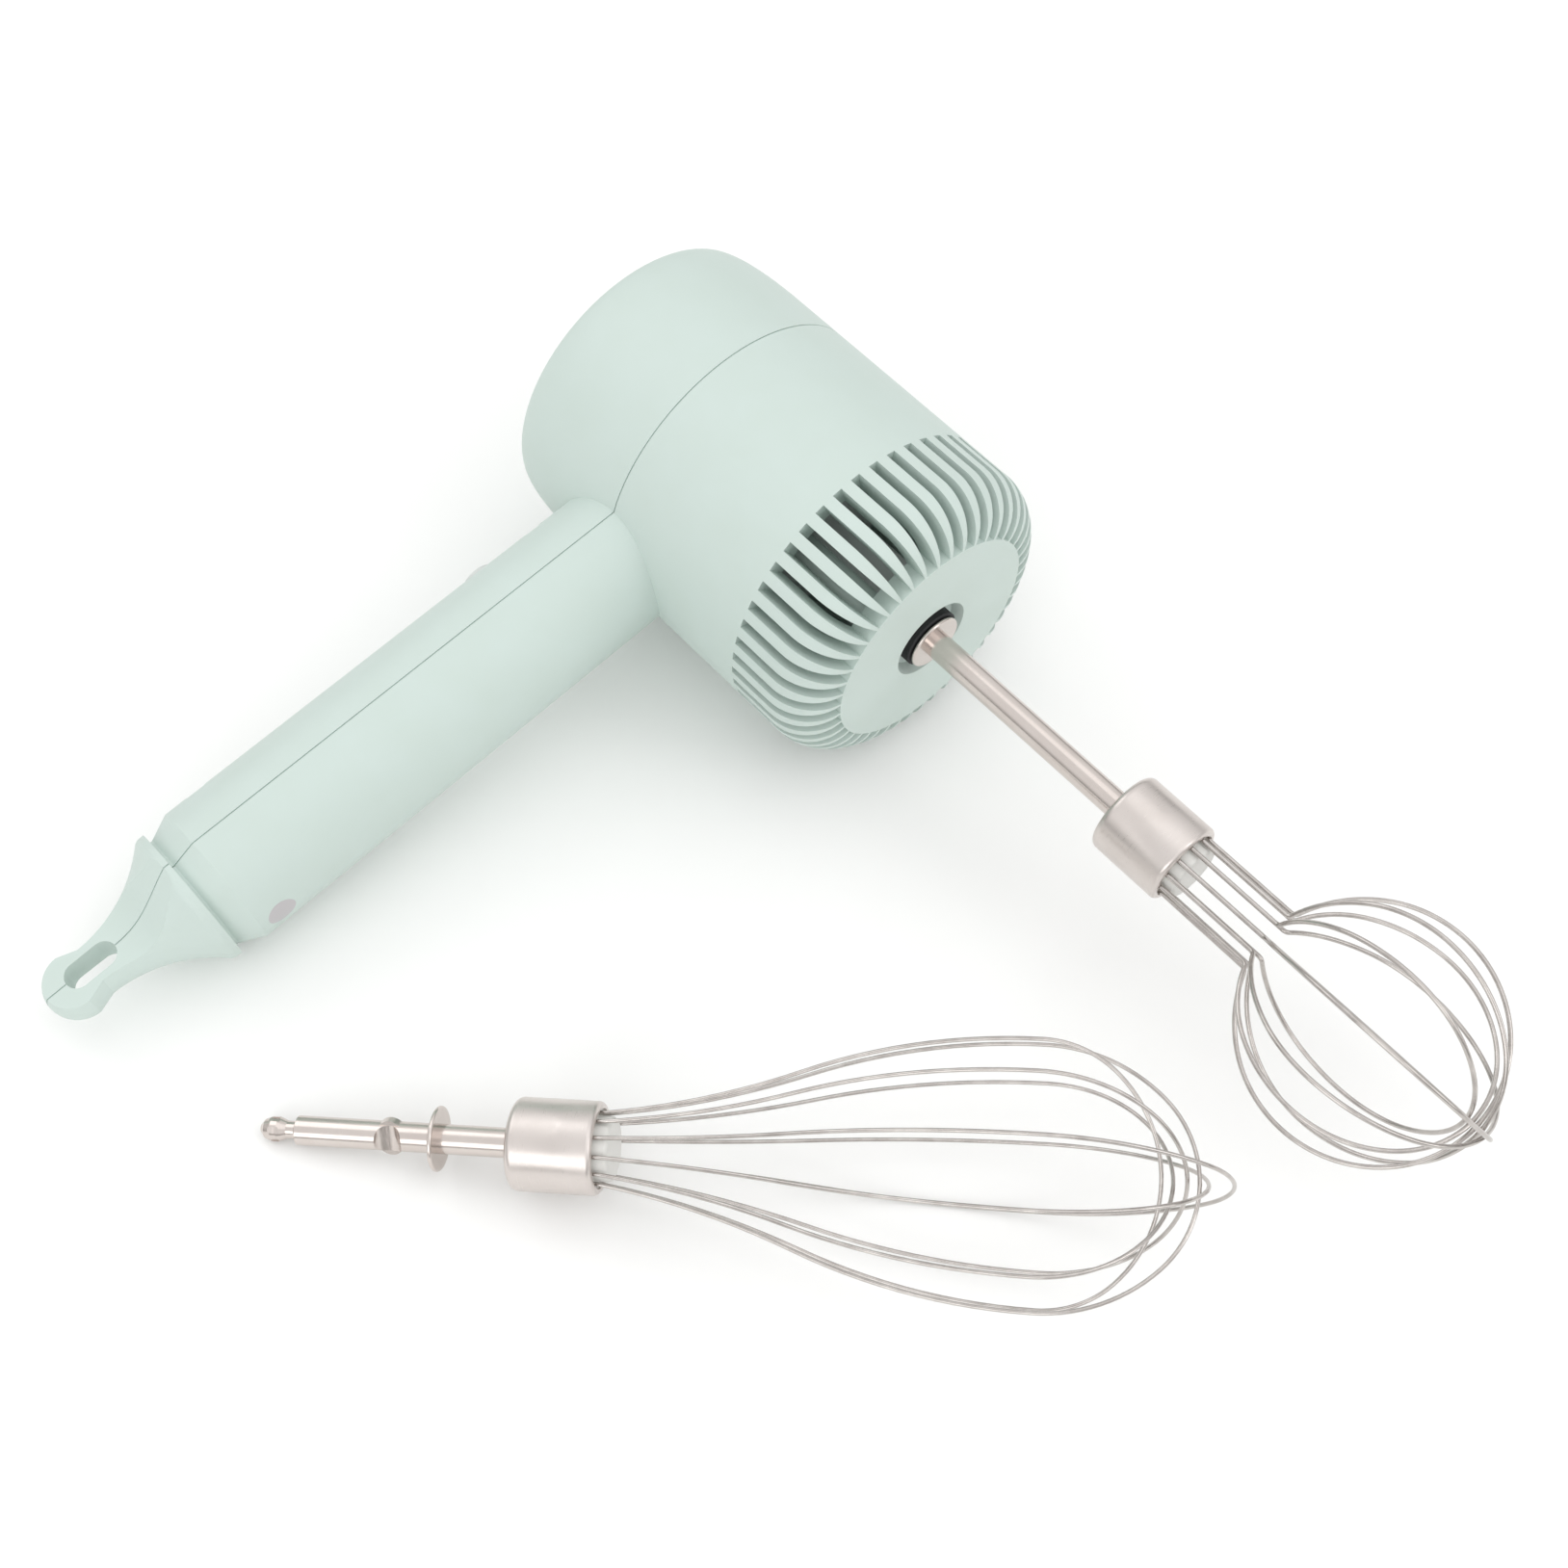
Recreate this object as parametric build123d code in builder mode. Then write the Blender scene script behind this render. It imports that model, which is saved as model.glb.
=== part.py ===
from build123d import *
import os
from math import asin, atan2, cos, hypot, pi, radians, sin, tan

# Cordless hand mixer lying on its side, with its ball whisk fitted and its balloon whisk beside it.
# Millimetres. The table is z = 0, the head's axis runs along +X, and the handle runs towards -Y.
# x = 0 is the plane in which the front and rear shells meet; it holds the handle's axis.

# ---------------------------------------------------------------- driving dimensions
head_radius = 35.0
head_rear = 32.1                # parting plane to the rear face
head_front = 60.4               # parting plane to the front face
rear_edge_length = 18.4         # the rear edge is a quarter of an ellipse
rear_edge_drop = 3.0
nose_radius = 10.6              # rounding between barrel and front face
wall = 2.2

fin_count = 46
fin_depth = 5.0                 # thickness of the shell where it is slotted
fin_turn = 2.5                  # turn of the first slot from the handle's side
slot_start = 38.6
slot_inset = 9.8                # head's radius to the slots' inner ends on the front face
slot_width_outside = 2.15
slot_width_inside = 2.85

handle_top_radius = 15.1
handle_bottom_radius = 15.56
handle_length = 138.4           # head axis to the end of the grip
neck_radius = 13.1
neck_length = 5.2               # grip's end to the neck
rim_radius = 15.02
rim_offset = 5.8                # grip's end to the tail's rim
rim_height = 1.2
tail_length = 34.5              # rim to the end of the loop
tail_end_radius = 6.8
tail_waist_offset = 20.8        # rim to the waist
tail_swell_angle = 8.0           # slope of the tail's side at the rim
tail_slope = 45.0                # steepest slope, above the waist
tail_thickness = 6.2
loop_slot_offset = 17.6         # rim to the slot
loop_slot_length = 11.6
loop_slot_width = 5.6

seam_gap = 0.3                  # width of the fine groove where the shells meet
seam_depth = 0.35

mouth_radius = 9.3              # cone around the socket
mouth_floor_radius = 8.2
mouth_depth = 2.5
seal_radius = 6.7
seal_length = 4.2
spindle_radius = 5.2
spindle_front = 60.7
spindle_seal_gap = 0.3

shank_diameter = 5.7
shank_fit = 0.03                # radial clearance of a shank in the spindle
nose_length = 7.5
nose_ball_radius = 2.4
nose_neck_radius = 1.7
key_reach = 26.2                # nose tip to the middle of the drive wings
key_length = 6.0
key_thickness = 1.7
key_height = 0.8                # wings above the shank
key_gap = 0.3
stop_ring_reach = 35.1          # nose tip to the back of the stop ring
stop_ring_radius = 6.25
stop_ring_thickness = 0.9
stop_ring_gap = 0.2             # stop ring to the spindle's end

collar_diameter = 17.7
collar_length = 16.8
collar_edge = 1.5
collar_wall = 0.8
wire_circle_radius = 6.8
plug_proud = 2.5
wire_seat = 9.0                 # collar's back to where the wires end inside the plug

ball_collar_reach = 88.0        # nose tip to the back of the collar
ball_wire_diameter = 0.95
ball_kink_reach = 125.8
ball_kink_angle = 68.0
ball_kink_bend = 1.3
ball_radius = 26.6
ball_widest_reach = 151.3
ball_tip_reach = 180.1
ball_tip_gap = 0.15             # clearance where one wire crosses the next on the axis
ball_tip_order = (3, 2, 5, 0, 1, 4)    # 0 is the longest wire, which crosses outside the others
ball_slack = (1.7, 1.4, 1.4, 0.0, 0.0, 3.2)    # how much narrower each wire bows
ball_turn = 21.5                # turn of the first loop about the whisk's axis
ball_key_turn = 0.0             # turn of the drive wings, which sit in the spindle's slots

balloon_collar_reach = 50.6
balloon_wire_diameter = 0.8
balloon_start_angle = 8.0
balloon_bend = 3.0
balloon_slope = 21.5
balloon_radius = 25.4
balloon_widest_reach = 149.0
balloon_tip_reach = 184.3
balloon_tip_drop = (6.1, 12.9, 8.3, 0.0, 4.5, 10.8)    # each wire's tip below the longest one's
balloon_turn = 5.6
balloon_key_turn = 54.0
balloon_nose_x = 43.7
balloon_nose_y = -159.8
balloon_heading = 41.1
loop_count = 6
table_gap = 0.05

gear_module = 0.6
sun_teeth = 12
planet_teeth = 15
planet_count = 3
addendum = 0.85                 # shares of the module
dedendum = 1.2
backlash = 0.12
pressure_angle = 20.0
gear_rim = 2.1
planet_width = 7.0
pin_radius = 1.0
pin_fit = 0.04
planet_end_gap = 0.35
carrier_thickness = 3.0
carrier_edge_gap = 0.6

motor_front = 6.0
motor_length = 30.0
motor_radius = 16.5
motor_wall = 0.8
magnet_thickness = 3.2
air_gap = 0.5
shaft_radius = 1.6
bush_fit = 0.03
bush_radius = 4.0
end_cap_thickness = 2.5
gearbox_wall = 1.3
cover_thickness = 2.6
cover_margin = 1.0              # screw heads to the cover's edge
snout_radius = 8.6
bearing_length = 5.0
bearing_wall = 1.6
spindle_bush_fit = 0.03
gearbox_screw_gap = 1.18        # case to the screw heads
screw_radius = 1.2
screw_head_radius = 2.3
screw_head_height = 1.8
boss_wall = 1.6
damper_thickness = 2.0
terminal_circle = 9.0
terminal_width = 3.0
terminal_thickness = 0.8
commutator_radius = 4.0
pole_count = 5
core_length = 13.0
hub_radius = 3.4
grip_ring_length = 2.0
damper_length = 4.0

cell_radius = 9.2
cell_length = 65.0
cell_start = 60.0
cell_wall_gap = 0.1             # the cell sits off the handle's axis, against the front wall
cell_fit = 0.15
tab_thickness = 0.3
lead_radius = 0.6
board_thickness = 1.6
board_inner_face = -6.4
board_width = 17.0
board_start = 50.0
board_end_inset = 1.0           # board's end short of the cell's end
board_fit = 0.3

button_reach = 58.0
button_radius = 4.6
button_gap = 0.25
button_proud = 0.8
button_travel = 0.8
button_flange = 0.9
button_flange_height = 0.9
light_reach = 70.0
light_pitch = 5.0
light_radius = 1.1
port_inset = 8.0                # charge port's middle to the board's end
port_width = 9.0
port_height = 3.3
port_wall = 0.35
window_inset = 5.0
window_radius = 3.2
shell_screw_top = 44.0
shell_screw_inset = 7.4
shell_screw_side = 8.0
shell_screw_depth = 3.5         # plastic left between screw head and parting plane

# ---------------------------------------------------------------- places and directions
neck_reach = handle_length + neck_length
rim_reach = handle_length + rim_offset
tail_end = rim_reach + tail_length
tail_waist_reach = rim_reach + tail_waist_offset
loop_slot_start = rim_reach + loop_slot_offset
loop_slot_end = loop_slot_start + loop_slot_length
board_end = cell_start + cell_length - board_end_inset
port_reach = board_end - port_inset
window_reach = handle_length - window_inset
shell_screw_bottom = handle_length - shell_screw_inset
rim_foot = rim_reach + rim_height
lean = asin(head_radius / hypot(rim_foot, rim_radius)) - atan2(rim_radius, rim_foot)
handle_direction = Vector(0, -cos(lean), -sin(lean))
table_side = Vector(0, sin(lean), -cos(lean))
head_centre = Vector(0, 0, head_radius)
head_axis = Axis(head_centre, (1, 0, 0))
handle_axis = Axis(head_centre, handle_direction)
# Local x runs along the head, local y down the handle.
lengthwise = Plane(head_centre, x_dir=(1, 0, 0), z_dir=table_side)

inner_radius = head_radius - wall
grip_inner_radius = handle_top_radius - wall
grip_floor = handle_length - 1.5
cell_offset = grip_inner_radius - cell_radius - cell_wall_gap
slot_inner_radius = head_radius - slot_inset
sun_radius = gear_module * sun_teeth / 2
planet_radius = gear_module * planet_teeth / 2
ring_teeth = sun_teeth + 2 * planet_teeth
ring_radius = gear_module * ring_teeth / 2
planet_circle = sun_radius + planet_radius
ring_outer_radius = ring_radius + gear_module * dedendum + gear_rim
gearbox_radius = ring_outer_radius + gearbox_wall
gearbox_screw_circle = gearbox_radius + screw_head_radius + gearbox_screw_gap
cover_radius = gearbox_screw_circle + screw_head_radius + cover_margin
gears_start = motor_front + 4.0
carrier_start = gears_start + planet_width + planet_end_gap
carrier_end = carrier_start + carrier_thickness
cover_start = carrier_end + 1.2
shank_radius = shank_diameter / 2
spindle_bore = shank_radius + shank_fit
key_radius = shank_radius + key_height
nose_x = spindle_front + stop_ring_gap - stop_ring_reach
bearing_radius = spindle_radius + spindle_bush_fit + bearing_wall
snout_end = head_front - fin_depth - 1.6
motor_rear = motor_front - motor_length
board_outer_face = board_inner_face - board_thickness
seal_start = spindle_front - seal_length
mouth_floor = head_front - mouth_depth
screw_spots = [
    (reach, side)
    for reach in (shell_screw_top, shell_screw_bottom)
    for side in (-shell_screw_side, shell_screw_side)
]


def across_head(x):
    """Plane across the head's axis: local x runs down the handle, local y towards the table."""
    return Plane((x, 0, head_radius), x_dir=handle_direction, z_dir=(1, 0, 0))


def across_handle(reach):
    """Plane across the handle's axis: local x is forward, local y is up from the table."""
    return Plane(head_centre + handle_direction * reach, x_dir=(1, 0, 0), z_dir=handle_direction)


# Plane above the tail, for cuts that run down through it.
above_tail = Plane(lengthwise.origin - table_side * rim_radius, x_dir=(1, 0, 0), z_dir=table_side)


def handle_radius(reach):
    """Outside radius of the tapered grip."""
    return handle_top_radius + (handle_bottom_radius - handle_top_radius) * reach / handle_length


def arc_pair(run, rise, start, middle, end):
    """Radii of two tangent arcs that cover run and rise while the heading turns start, middle, end."""
    run_1 = sin(radians(middle)) - sin(radians(start))
    run_2 = sin(radians(end)) - sin(radians(middle))
    rise_1 = cos(radians(start)) - cos(radians(middle))
    rise_2 = cos(radians(middle)) - cos(radians(end))
    det = run_1 * rise_2 - run_2 * rise_1
    return abs((run * rise_2 - rise * run_2) / det), abs((rise * run_1 - run * rise_1) / det)


def save(part, name):
    part.label = name
    export_step(part, f"parts/{name}.step")


os.makedirs("parts", exist_ok=True)


# ---------------------------------------------------------------- outer form of the casing
def head_form(inset):
    """The barrel, pulled in by an inset all round."""
    radius = head_radius - inset
    rear = -head_rear + inset
    front = head_front - inset
    with BuildPart() as form:
        with BuildSketch(lengthwise):
            with BuildLine():
                Line((rear, 0), (rear, radius - rear_edge_drop))
                edge = EllipticalCenterArc(
                    (-head_rear + rear_edge_length, radius - rear_edge_drop),
                    rear_edge_length - inset,
                    rear_edge_drop,
                    start_angle=90,
                    arc_size=90,
                )
                corner = JernArc((front, radius - nose_radius + inset), (0, 1), nose_radius - inset, 90)
                Line(edge @ 0, corner @ 1)
                Line(corner @ 0, (front, 0))
                Line((front, 0), (rear, 0))
            make_face()
        revolve(axis=head_axis)
    return form.part


def grip_form(inset):
    """Tapered grip with its shoulder and neck."""
    with BuildPart() as form:
        with BuildSketch(lengthwise):
            with BuildLine():
                Polyline(
                    (0, 0),
                    (handle_top_radius - inset, 0),
                    (handle_bottom_radius - inset, handle_length),
                    (neck_radius - inset, neck_reach),
                    (neck_radius - inset, rim_reach + rim_height / 2),
                    (0, rim_reach + rim_height / 2),
                    close=True,
                )
            make_face()
        revolve(axis=handle_axis)
    return form.part


def tail_form(inset):
    """Round waisted tail, scooped flat on both sides to a hanging loop."""
    rim = rim_reach + rim_height - inset
    end_centre = tail_end - tail_end_radius
    waist_run = tail_waist_reach - rim
    waist_rise = rim_radius - tail_end_radius
    first, second = arc_pair(waist_run, -waist_rise, -tail_swell_angle, -tail_slope, -1)
    with BuildPart() as form:
        with BuildSketch(lengthwise):
            with BuildLine():
                top = Line((0, rim_reach + inset), (rim_radius - inset, rim_reach + inset))
                edge = Line(top @ 1, (rim_radius - inset, rim))
                slant = radians(tail_swell_angle)
                swell = JernArc(edge @ 1, (-sin(slant), cos(slant)), first, tail_slope - tail_swell_angle)
                waist = JernArc(swell @ 1, swell % 1, second, 1 - tail_slope)
                side = Line(waist @ 1, (tail_end_radius - inset, end_centre))
                tip = ThreePointArc(
                    side @ 1,
                    (
                        (tail_end_radius - inset) * cos(pi / 4),
                        end_centre + (tail_end_radius - inset) * sin(pi / 4),
                    ),
                    (0, tail_end - inset),
                )
                Line(tip @ 1, top @ 0)
            make_face()
        revolve(axis=handle_axis)
        with BuildSketch(across_head(-2 * rim_radius)):
            half = tail_thickness / 2 - inset
            with BuildLine():
                flank = Line((rim_reach - 1, rim_radius), (rim_reach + rim_height, rim_radius - inset))
                scoop = Spline(
                    flank @ 1,
                    (rim_reach + 8.7, rim_radius - 7.6 - inset),
                    (loop_slot_start, half + 0.3),
                    tangents=[(1, -0.9), (1, -0.03)],
                )
                loop = Line(scoop @ 1, (tail_end + 1, half))
                end = Line(loop @ 1, (tail_end + 1, 0))
                Line(end @ 1, (rim_reach - 1, 0))
                Line((rim_reach - 1, 0), flank @ 0)
            make_face()
            mirror(about=Plane.XZ)
        extrude(amount=4 * rim_radius, mode=Mode.INTERSECT)
    return form.part


def casing_form(inset):
    with BuildPart() as form:
        add(head_form(inset))
        add(grip_form(inset))
        add(tail_form(inset))
    return form.part


with BuildPart() as hollow:
    # Space inside the barrel, stepped in behind the fins.
    with BuildSketch(lengthwise):
        rear = -head_rear + wall
        front = head_front - fin_depth
        slotted_radius = head_radius - fin_depth
        with BuildLine():
            Line((rear, 0), (rear, inner_radius - rear_edge_drop))
            edge = EllipticalCenterArc(
                (-head_rear + rear_edge_length, inner_radius - rear_edge_drop),
                rear_edge_length - wall,
                rear_edge_drop,
                start_angle=90,
                arc_size=90,
            )
            step = Line((slot_start - 4.0, inner_radius), (slot_start - 1.2, slotted_radius))
            corner_radius = nose_radius - fin_depth
            corner = JernArc((front, slotted_radius - corner_radius), (0, 1), corner_radius, 90)
            Line(edge @ 0, step @ 0)
            Line(step @ 1, corner @ 1)
            Line(corner @ 0, (front, 0))
            Line((front, 0), (rear, 0))
        make_face()
    revolve(axis=head_axis)
    # Space inside the grip.
    with BuildSketch(across_handle(0)):
        Circle(grip_inner_radius)
    extrude(amount=grip_floor)

casing = casing_form(0)
casing_skin = casing - casing_form(seam_depth)


def half_space(side):
    """Block that holds everything in front of (+1) or behind (-1) the parting plane."""
    with BuildPart() as block:
        with BuildSketch(across_head(0)):
            Rectangle(6 * rim_reach, 6 * rim_reach)
        extrude(amount=side * 3 * head_front)
    return block.part


def seam_groove():
    with BuildPart() as groove:
        with BuildSketch(across_head(-seam_gap / 2)):
            Rectangle(6 * rim_reach, 6 * rim_reach)
        extrude(amount=seam_gap)
        add(casing_skin, mode=Mode.INTERSECT)
    return groove.part


def cell_ribs(side):
    """Ribs that hold the cell and the control board."""
    with BuildPart() as ribs:
        for reach in (cell_start + 12.0, cell_start + 32.5, cell_start + 50.0):
            with BuildSketch(across_handle(reach)):
                Circle(grip_inner_radius + wall / 2)
                with Locations((cell_offset, 0)):
                    Circle(cell_radius + cell_fit, mode=Mode.SUBTRACT)
                with Locations((board_outer_face + 1.0, 0)):
                    Rectangle(board_thickness + 4.0, board_width + 2 * board_fit, mode=Mode.SUBTRACT)
                with Locations((board_inner_face + 3.0, 0)):
                    Rectangle(8.0, 2 * cell_radius - 2.0, mode=Mode.SUBTRACT)
            extrude(amount=1.6)
        add(half_space(side), mode=Mode.INTERSECT)
    return ribs.part


groove = seam_groove()

with BuildPart() as front_shell:
    add(casing)
    add(hollow.part, mode=Mode.SUBTRACT)
    add(cell_ribs(1))
    with BuildSketch(across_head(0)):
        with Locations(*screw_spots):
            Circle(screw_radius + boss_wall)
    extrude(amount=handle_top_radius - 3.0)
    # Bosses that carry the gearbox, standing on the inside of the front wall.
    with BuildSketch(across_head(cover_start + cover_thickness)):
        with PolarLocations(gearbox_screw_circle, 3, start_angle=60):
            Circle(screw_radius + boss_wall)
    extrude(amount=head_front - fin_depth / 2 - cover_start - cover_thickness)
    add(casing, mode=Mode.INTERSECT)
    add(half_space(1), mode=Mode.INTERSECT)
    with BuildSketch(across_head(0)):
        with Locations(*screw_spots):
            Circle(screw_radius)
    extrude(amount=9.0, mode=Mode.SUBTRACT)
    with BuildSketch(across_head(cover_start)):
        with PolarLocations(gearbox_screw_circle, 3, start_angle=60):
            Circle(screw_radius)
    extrude(amount=14.0, mode=Mode.SUBTRACT)
    # Air slots: straight-sided grooves that run over the rounded front edge.
    with BuildSketch(across_head(slot_start)):
        with PolarLocations(0, fin_count, start_angle=fin_turn):
            Polygon(
                (slot_inner_radius, -slot_width_inside / 2),
                (head_radius + 1, -slot_width_outside / 2),
                (head_radius + 1, slot_width_outside / 2),
                (slot_inner_radius, slot_width_inside / 2),
                align=None,
            )
    extrude(amount=head_front, mode=Mode.SUBTRACT)
    # Socket mouth: a cone, a seat for the seal and a clearance hole for the spindle.
    with BuildSketch(lengthwise):
        with BuildLine():
            Polyline(
                (head_front + 1, 0),
                (head_front + 1, mouth_radius + 0.4),
                (head_front, mouth_radius),
                (mouth_floor, mouth_floor_radius),
                (mouth_floor, seal_radius),
                (seal_start, seal_radius),
                (seal_start, spindle_radius + spindle_seal_gap + 0.2),
                (head_front - fin_depth - 1, spindle_radius + spindle_seal_gap + 0.2),
                (head_front - fin_depth - 1, 0),
                close=True,
            )
        make_face()
    revolve(axis=head_axis, mode=Mode.SUBTRACT)
    with BuildSketch(across_head(grip_inner_radius - 2)):
        with Locations((window_reach, 0)):
            Circle(window_radius)
    extrude(amount=2 * wall + 4, mode=Mode.SUBTRACT)
    with BuildSketch(above_tail):
        with Locations((0, (loop_slot_start + loop_slot_end) / 2)):
            SlotOverall(loop_slot_end - loop_slot_start, loop_slot_width, rotation=90)
    extrude(amount=2 * rim_radius, mode=Mode.SUBTRACT)
    add(groove, mode=Mode.SUBTRACT)
save(front_shell.part, "front_shell")

with BuildPart() as rear_shell:
    add(casing)
    add(hollow.part, mode=Mode.SUBTRACT)
    add(cell_ribs(-1))
    # Seat of the motor's rubber ring.
    with BuildSketch(across_head(-head_rear + wall / 2)):
        Circle(motor_radius + damper_thickness + boss_wall)
        Circle(motor_radius + damper_thickness, mode=Mode.SUBTRACT)
    extrude(amount=head_rear - wall / 2 + motor_rear + damper_length + 2)
    # Notch that lets the motor leads into the seat.
    with BuildSketch(across_head(-head_rear + wall)):
        with Locations((motor_radius, 0)):
            Rectangle(4 * (damper_thickness + boss_wall / 2), 2 * terminal_circle + 4.0)
    extrude(amount=head_rear, mode=Mode.SUBTRACT)
    with BuildSketch(across_head(-handle_top_radius + 1)):
        with Locations(*screw_spots):
            Circle(screw_head_radius + boss_wall)
    extrude(amount=handle_top_radius - 1)
    add(casing, mode=Mode.INTERSECT)
    add(half_space(-1), mode=Mode.INTERSECT)
    # Spigot that locates the front shell, open where the handle joins.
    with BuildSketch(across_head(-2.0)):
        Circle(inner_radius)
        Circle(inner_radius - boss_wall, mode=Mode.SUBTRACT)
    extrude(amount=2.0)
    with BuildSketch(across_head(0)):
        Circle(inner_radius - 0.1)
        Circle(inner_radius - boss_wall, mode=Mode.SUBTRACT)
    extrude(amount=3.0)
    with BuildSketch(across_handle(inner_radius / 2)):
        Circle(grip_inner_radius + 0.3)
    extrude(amount=inner_radius, mode=Mode.SUBTRACT)
    with BuildSketch(across_head(-shell_screw_depth)):
        with Locations(*screw_spots):
            Circle(screw_radius + 0.25)
    extrude(amount=shell_screw_depth, mode=Mode.SUBTRACT)
    with BuildSketch(across_head(-2 * handle_bottom_radius)):
        with Locations(*screw_spots):
            Circle(screw_head_radius + 0.2)
    extrude(amount=2 * handle_bottom_radius - shell_screw_depth, mode=Mode.SUBTRACT)
    # Openings along the back of the grip: button, speed lights and charge port.
    with BuildSketch(across_head(-2 * handle_bottom_radius)):
        with Locations((button_reach, 0)):
            Circle(button_radius + button_gap)
        with Locations(*[(light_reach + light_pitch * i, 0) for i in range(3)]):
            Circle(light_radius)
        with Locations((port_reach, 0)):
            SlotOverall(port_width + 0.4, port_height + 0.4, rotation=90)
    extrude(amount=2 * handle_bottom_radius - grip_inner_radius + 4, mode=Mode.SUBTRACT)
    with BuildSketch(above_tail):
        with Locations((0, (loop_slot_start + loop_slot_end) / 2)):
            SlotOverall(loop_slot_end - loop_slot_start, loop_slot_width, rotation=90)
    extrude(amount=2 * rim_radius, mode=Mode.SUBTRACT)
    add(groove, mode=Mode.SUBTRACT)
save(rear_shell.part, "rear_shell")


# ---------------------------------------------------------------- trim and controls
def ring(start, length, outer, inner):
    """Plain ring on the head's axis."""
    with BuildPart() as piece:
        with BuildSketch(across_head(start)):
            Circle(outer)
            if inner:
                Circle(inner, mode=Mode.SUBTRACT)
        extrude(amount=length)
    return piece.part


with BuildPart() as socket_seal:
    add(ring(seal_start, seal_length, seal_radius, spindle_radius + spindle_seal_gap))
    rims = socket_seal.edges().filter_by(GeomType.CIRCLE).group_by(SortBy.RADIUS)[-1]
    chamfer(rims.sort_by(Axis.X)[-1], 0.3)
save(socket_seal.part, "socket_seal")

with BuildPart() as charge_light_window:
    with BuildSketch(across_head(grip_inner_radius - 0.2)):
        with Locations((window_reach, 0)):
            Circle(window_radius)
    extrude(amount=2 * wall)
    add(casing, mode=Mode.INTERSECT)
save(charge_light_window.part, "charge_light_window")

with BuildPart() as speed_light_pipes:
    with BuildSketch(across_head(-2 * handle_bottom_radius)):
        with Locations(*[(light_reach + light_pitch * i, 0) for i in range(3)]):
            Circle(light_radius)
    extrude(amount=2 * handle_bottom_radius + board_outer_face - 1.2)
    add(casing, mode=Mode.INTERSECT)
save(speed_light_pipes.part, "speed_light_pipes")

with BuildPart() as indicator_leds:
    # Three chips behind the speed lights and one dome behind the charge window.
    with BuildSketch(across_head(board_outer_face - 0.8)):
        with Locations(*[(light_reach + light_pitch * i, 0) for i in range(3)]):
            Rectangle(1.0, 1.8)
    extrude(amount=0.8)
    with BuildSketch(across_head(grip_inner_radius - 4.6)):
        with Locations((window_reach, 0)):
            Circle(1.9)
    extrude(amount=0.8)
    with BuildSketch(across_head(grip_inner_radius - 3.8)):
        with Locations((window_reach, 0)):
            Circle(1.5)
    extrude(amount=3.0)
    fillet(indicator_leds.edges().sort_by(Axis.X)[-1], 1.2)
save(indicator_leds.part, "indicator_leds")

with BuildPart() as control_board:
    with BuildSketch(across_head(board_outer_face)):
        with Locations(((board_start + board_end) / 2, 0)):
            RectangleRounded(board_end - board_start, board_width, 1.0)
    extrude(amount=board_thickness)
save(control_board.part, "control_board")

with BuildPart() as board_components:
    with BuildSketch(across_head(board_outer_face - 1.2)):
        with Locations((88.0, -3.5)):
            Rectangle(5.0, 4.0)
        with Locations((98.0, 3.0)):
            Rectangle(6.0, 5.0)
        with Locations((105.5, -4.0)):
            Rectangle(3.0, 3.0)
    extrude(amount=1.2)
save(board_components.part, "board_components")

switch_face = button_travel + 0.1
flange_back = -grip_inner_radius * cos(asin((button_radius + button_flange) / grip_inner_radius)) + 0.15
switch_top = flange_back + button_flange_height + switch_face

with BuildPart() as power_button:
    with BuildSketch(across_head(flange_back)):
        with Locations((button_reach, 0)):
            Circle(button_radius + button_flange)
    extrude(amount=button_flange_height)
    with BuildSketch(across_head(-handle_radius(button_reach) - button_proud)):
        with Locations((button_reach, 0)):
            Circle(button_radius)
    extrude(amount=handle_radius(button_reach) + button_proud + flange_back)
    fillet(power_button.edges().sort_by(Axis.X)[0], 0.5)
save(power_button.part, "power_button")

with BuildPart() as button_switch:
    with BuildSketch(across_head(switch_top + 0.6)):
        with Locations((button_reach, 0)):
            RectangleRounded(6.0, 6.0, 0.4)
    extrude(amount=board_outer_face - switch_top - 0.6)
    with BuildSketch(across_head(switch_top)):
        with Locations((button_reach, 0)):
            Circle(1.7)
    extrude(amount=0.6)
save(button_switch.part, "button_switch")

with BuildPart() as charge_port:
    port_face = -handle_radius(port_reach) + 0.9
    with BuildSketch(across_head(port_face)):
        with Locations((port_reach, 0)):
            SlotOverall(port_width, port_height, rotation=90)
            SlotOverall(
                port_width - 2 * port_wall,
                port_height - 2 * port_wall,
                rotation=90,
                mode=Mode.SUBTRACT,
            )
    extrude(amount=board_outer_face - port_face - 0.6)
    with BuildSketch(across_head(board_outer_face - 0.6)):
        with Locations((port_reach, 0)):
            SlotOverall(port_width, port_height, rotation=90)
    extrude(amount=0.6)
    with BuildSketch(across_head(port_face + 0.6)):
        with Locations((port_reach, 0)):
            Rectangle(0.7, port_width - 2.8)
    extrude(amount=board_outer_face - port_face - 0.9)
save(charge_port.part, "charge_port")

with BuildPart() as shell_screws:
    with BuildSketch(across_head(-shell_screw_depth - screw_head_height)):
        with Locations(*screw_spots):
            Circle(screw_head_radius)
    extrude(amount=screw_head_height)
    with BuildSketch(across_head(-shell_screw_depth - screw_head_height)):
        with Locations(*screw_spots):
            Rectangle(3.0, 0.6)
            Rectangle(0.6, 3.0)
    extrude(amount=0.9, mode=Mode.SUBTRACT)
    with BuildSketch(across_head(-shell_screw_depth)):
        with Locations(*screw_spots):
            Circle(screw_radius)
    extrude(amount=shell_screw_depth + 8.0)
save(shell_screws.part, "shell_screws")

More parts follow.
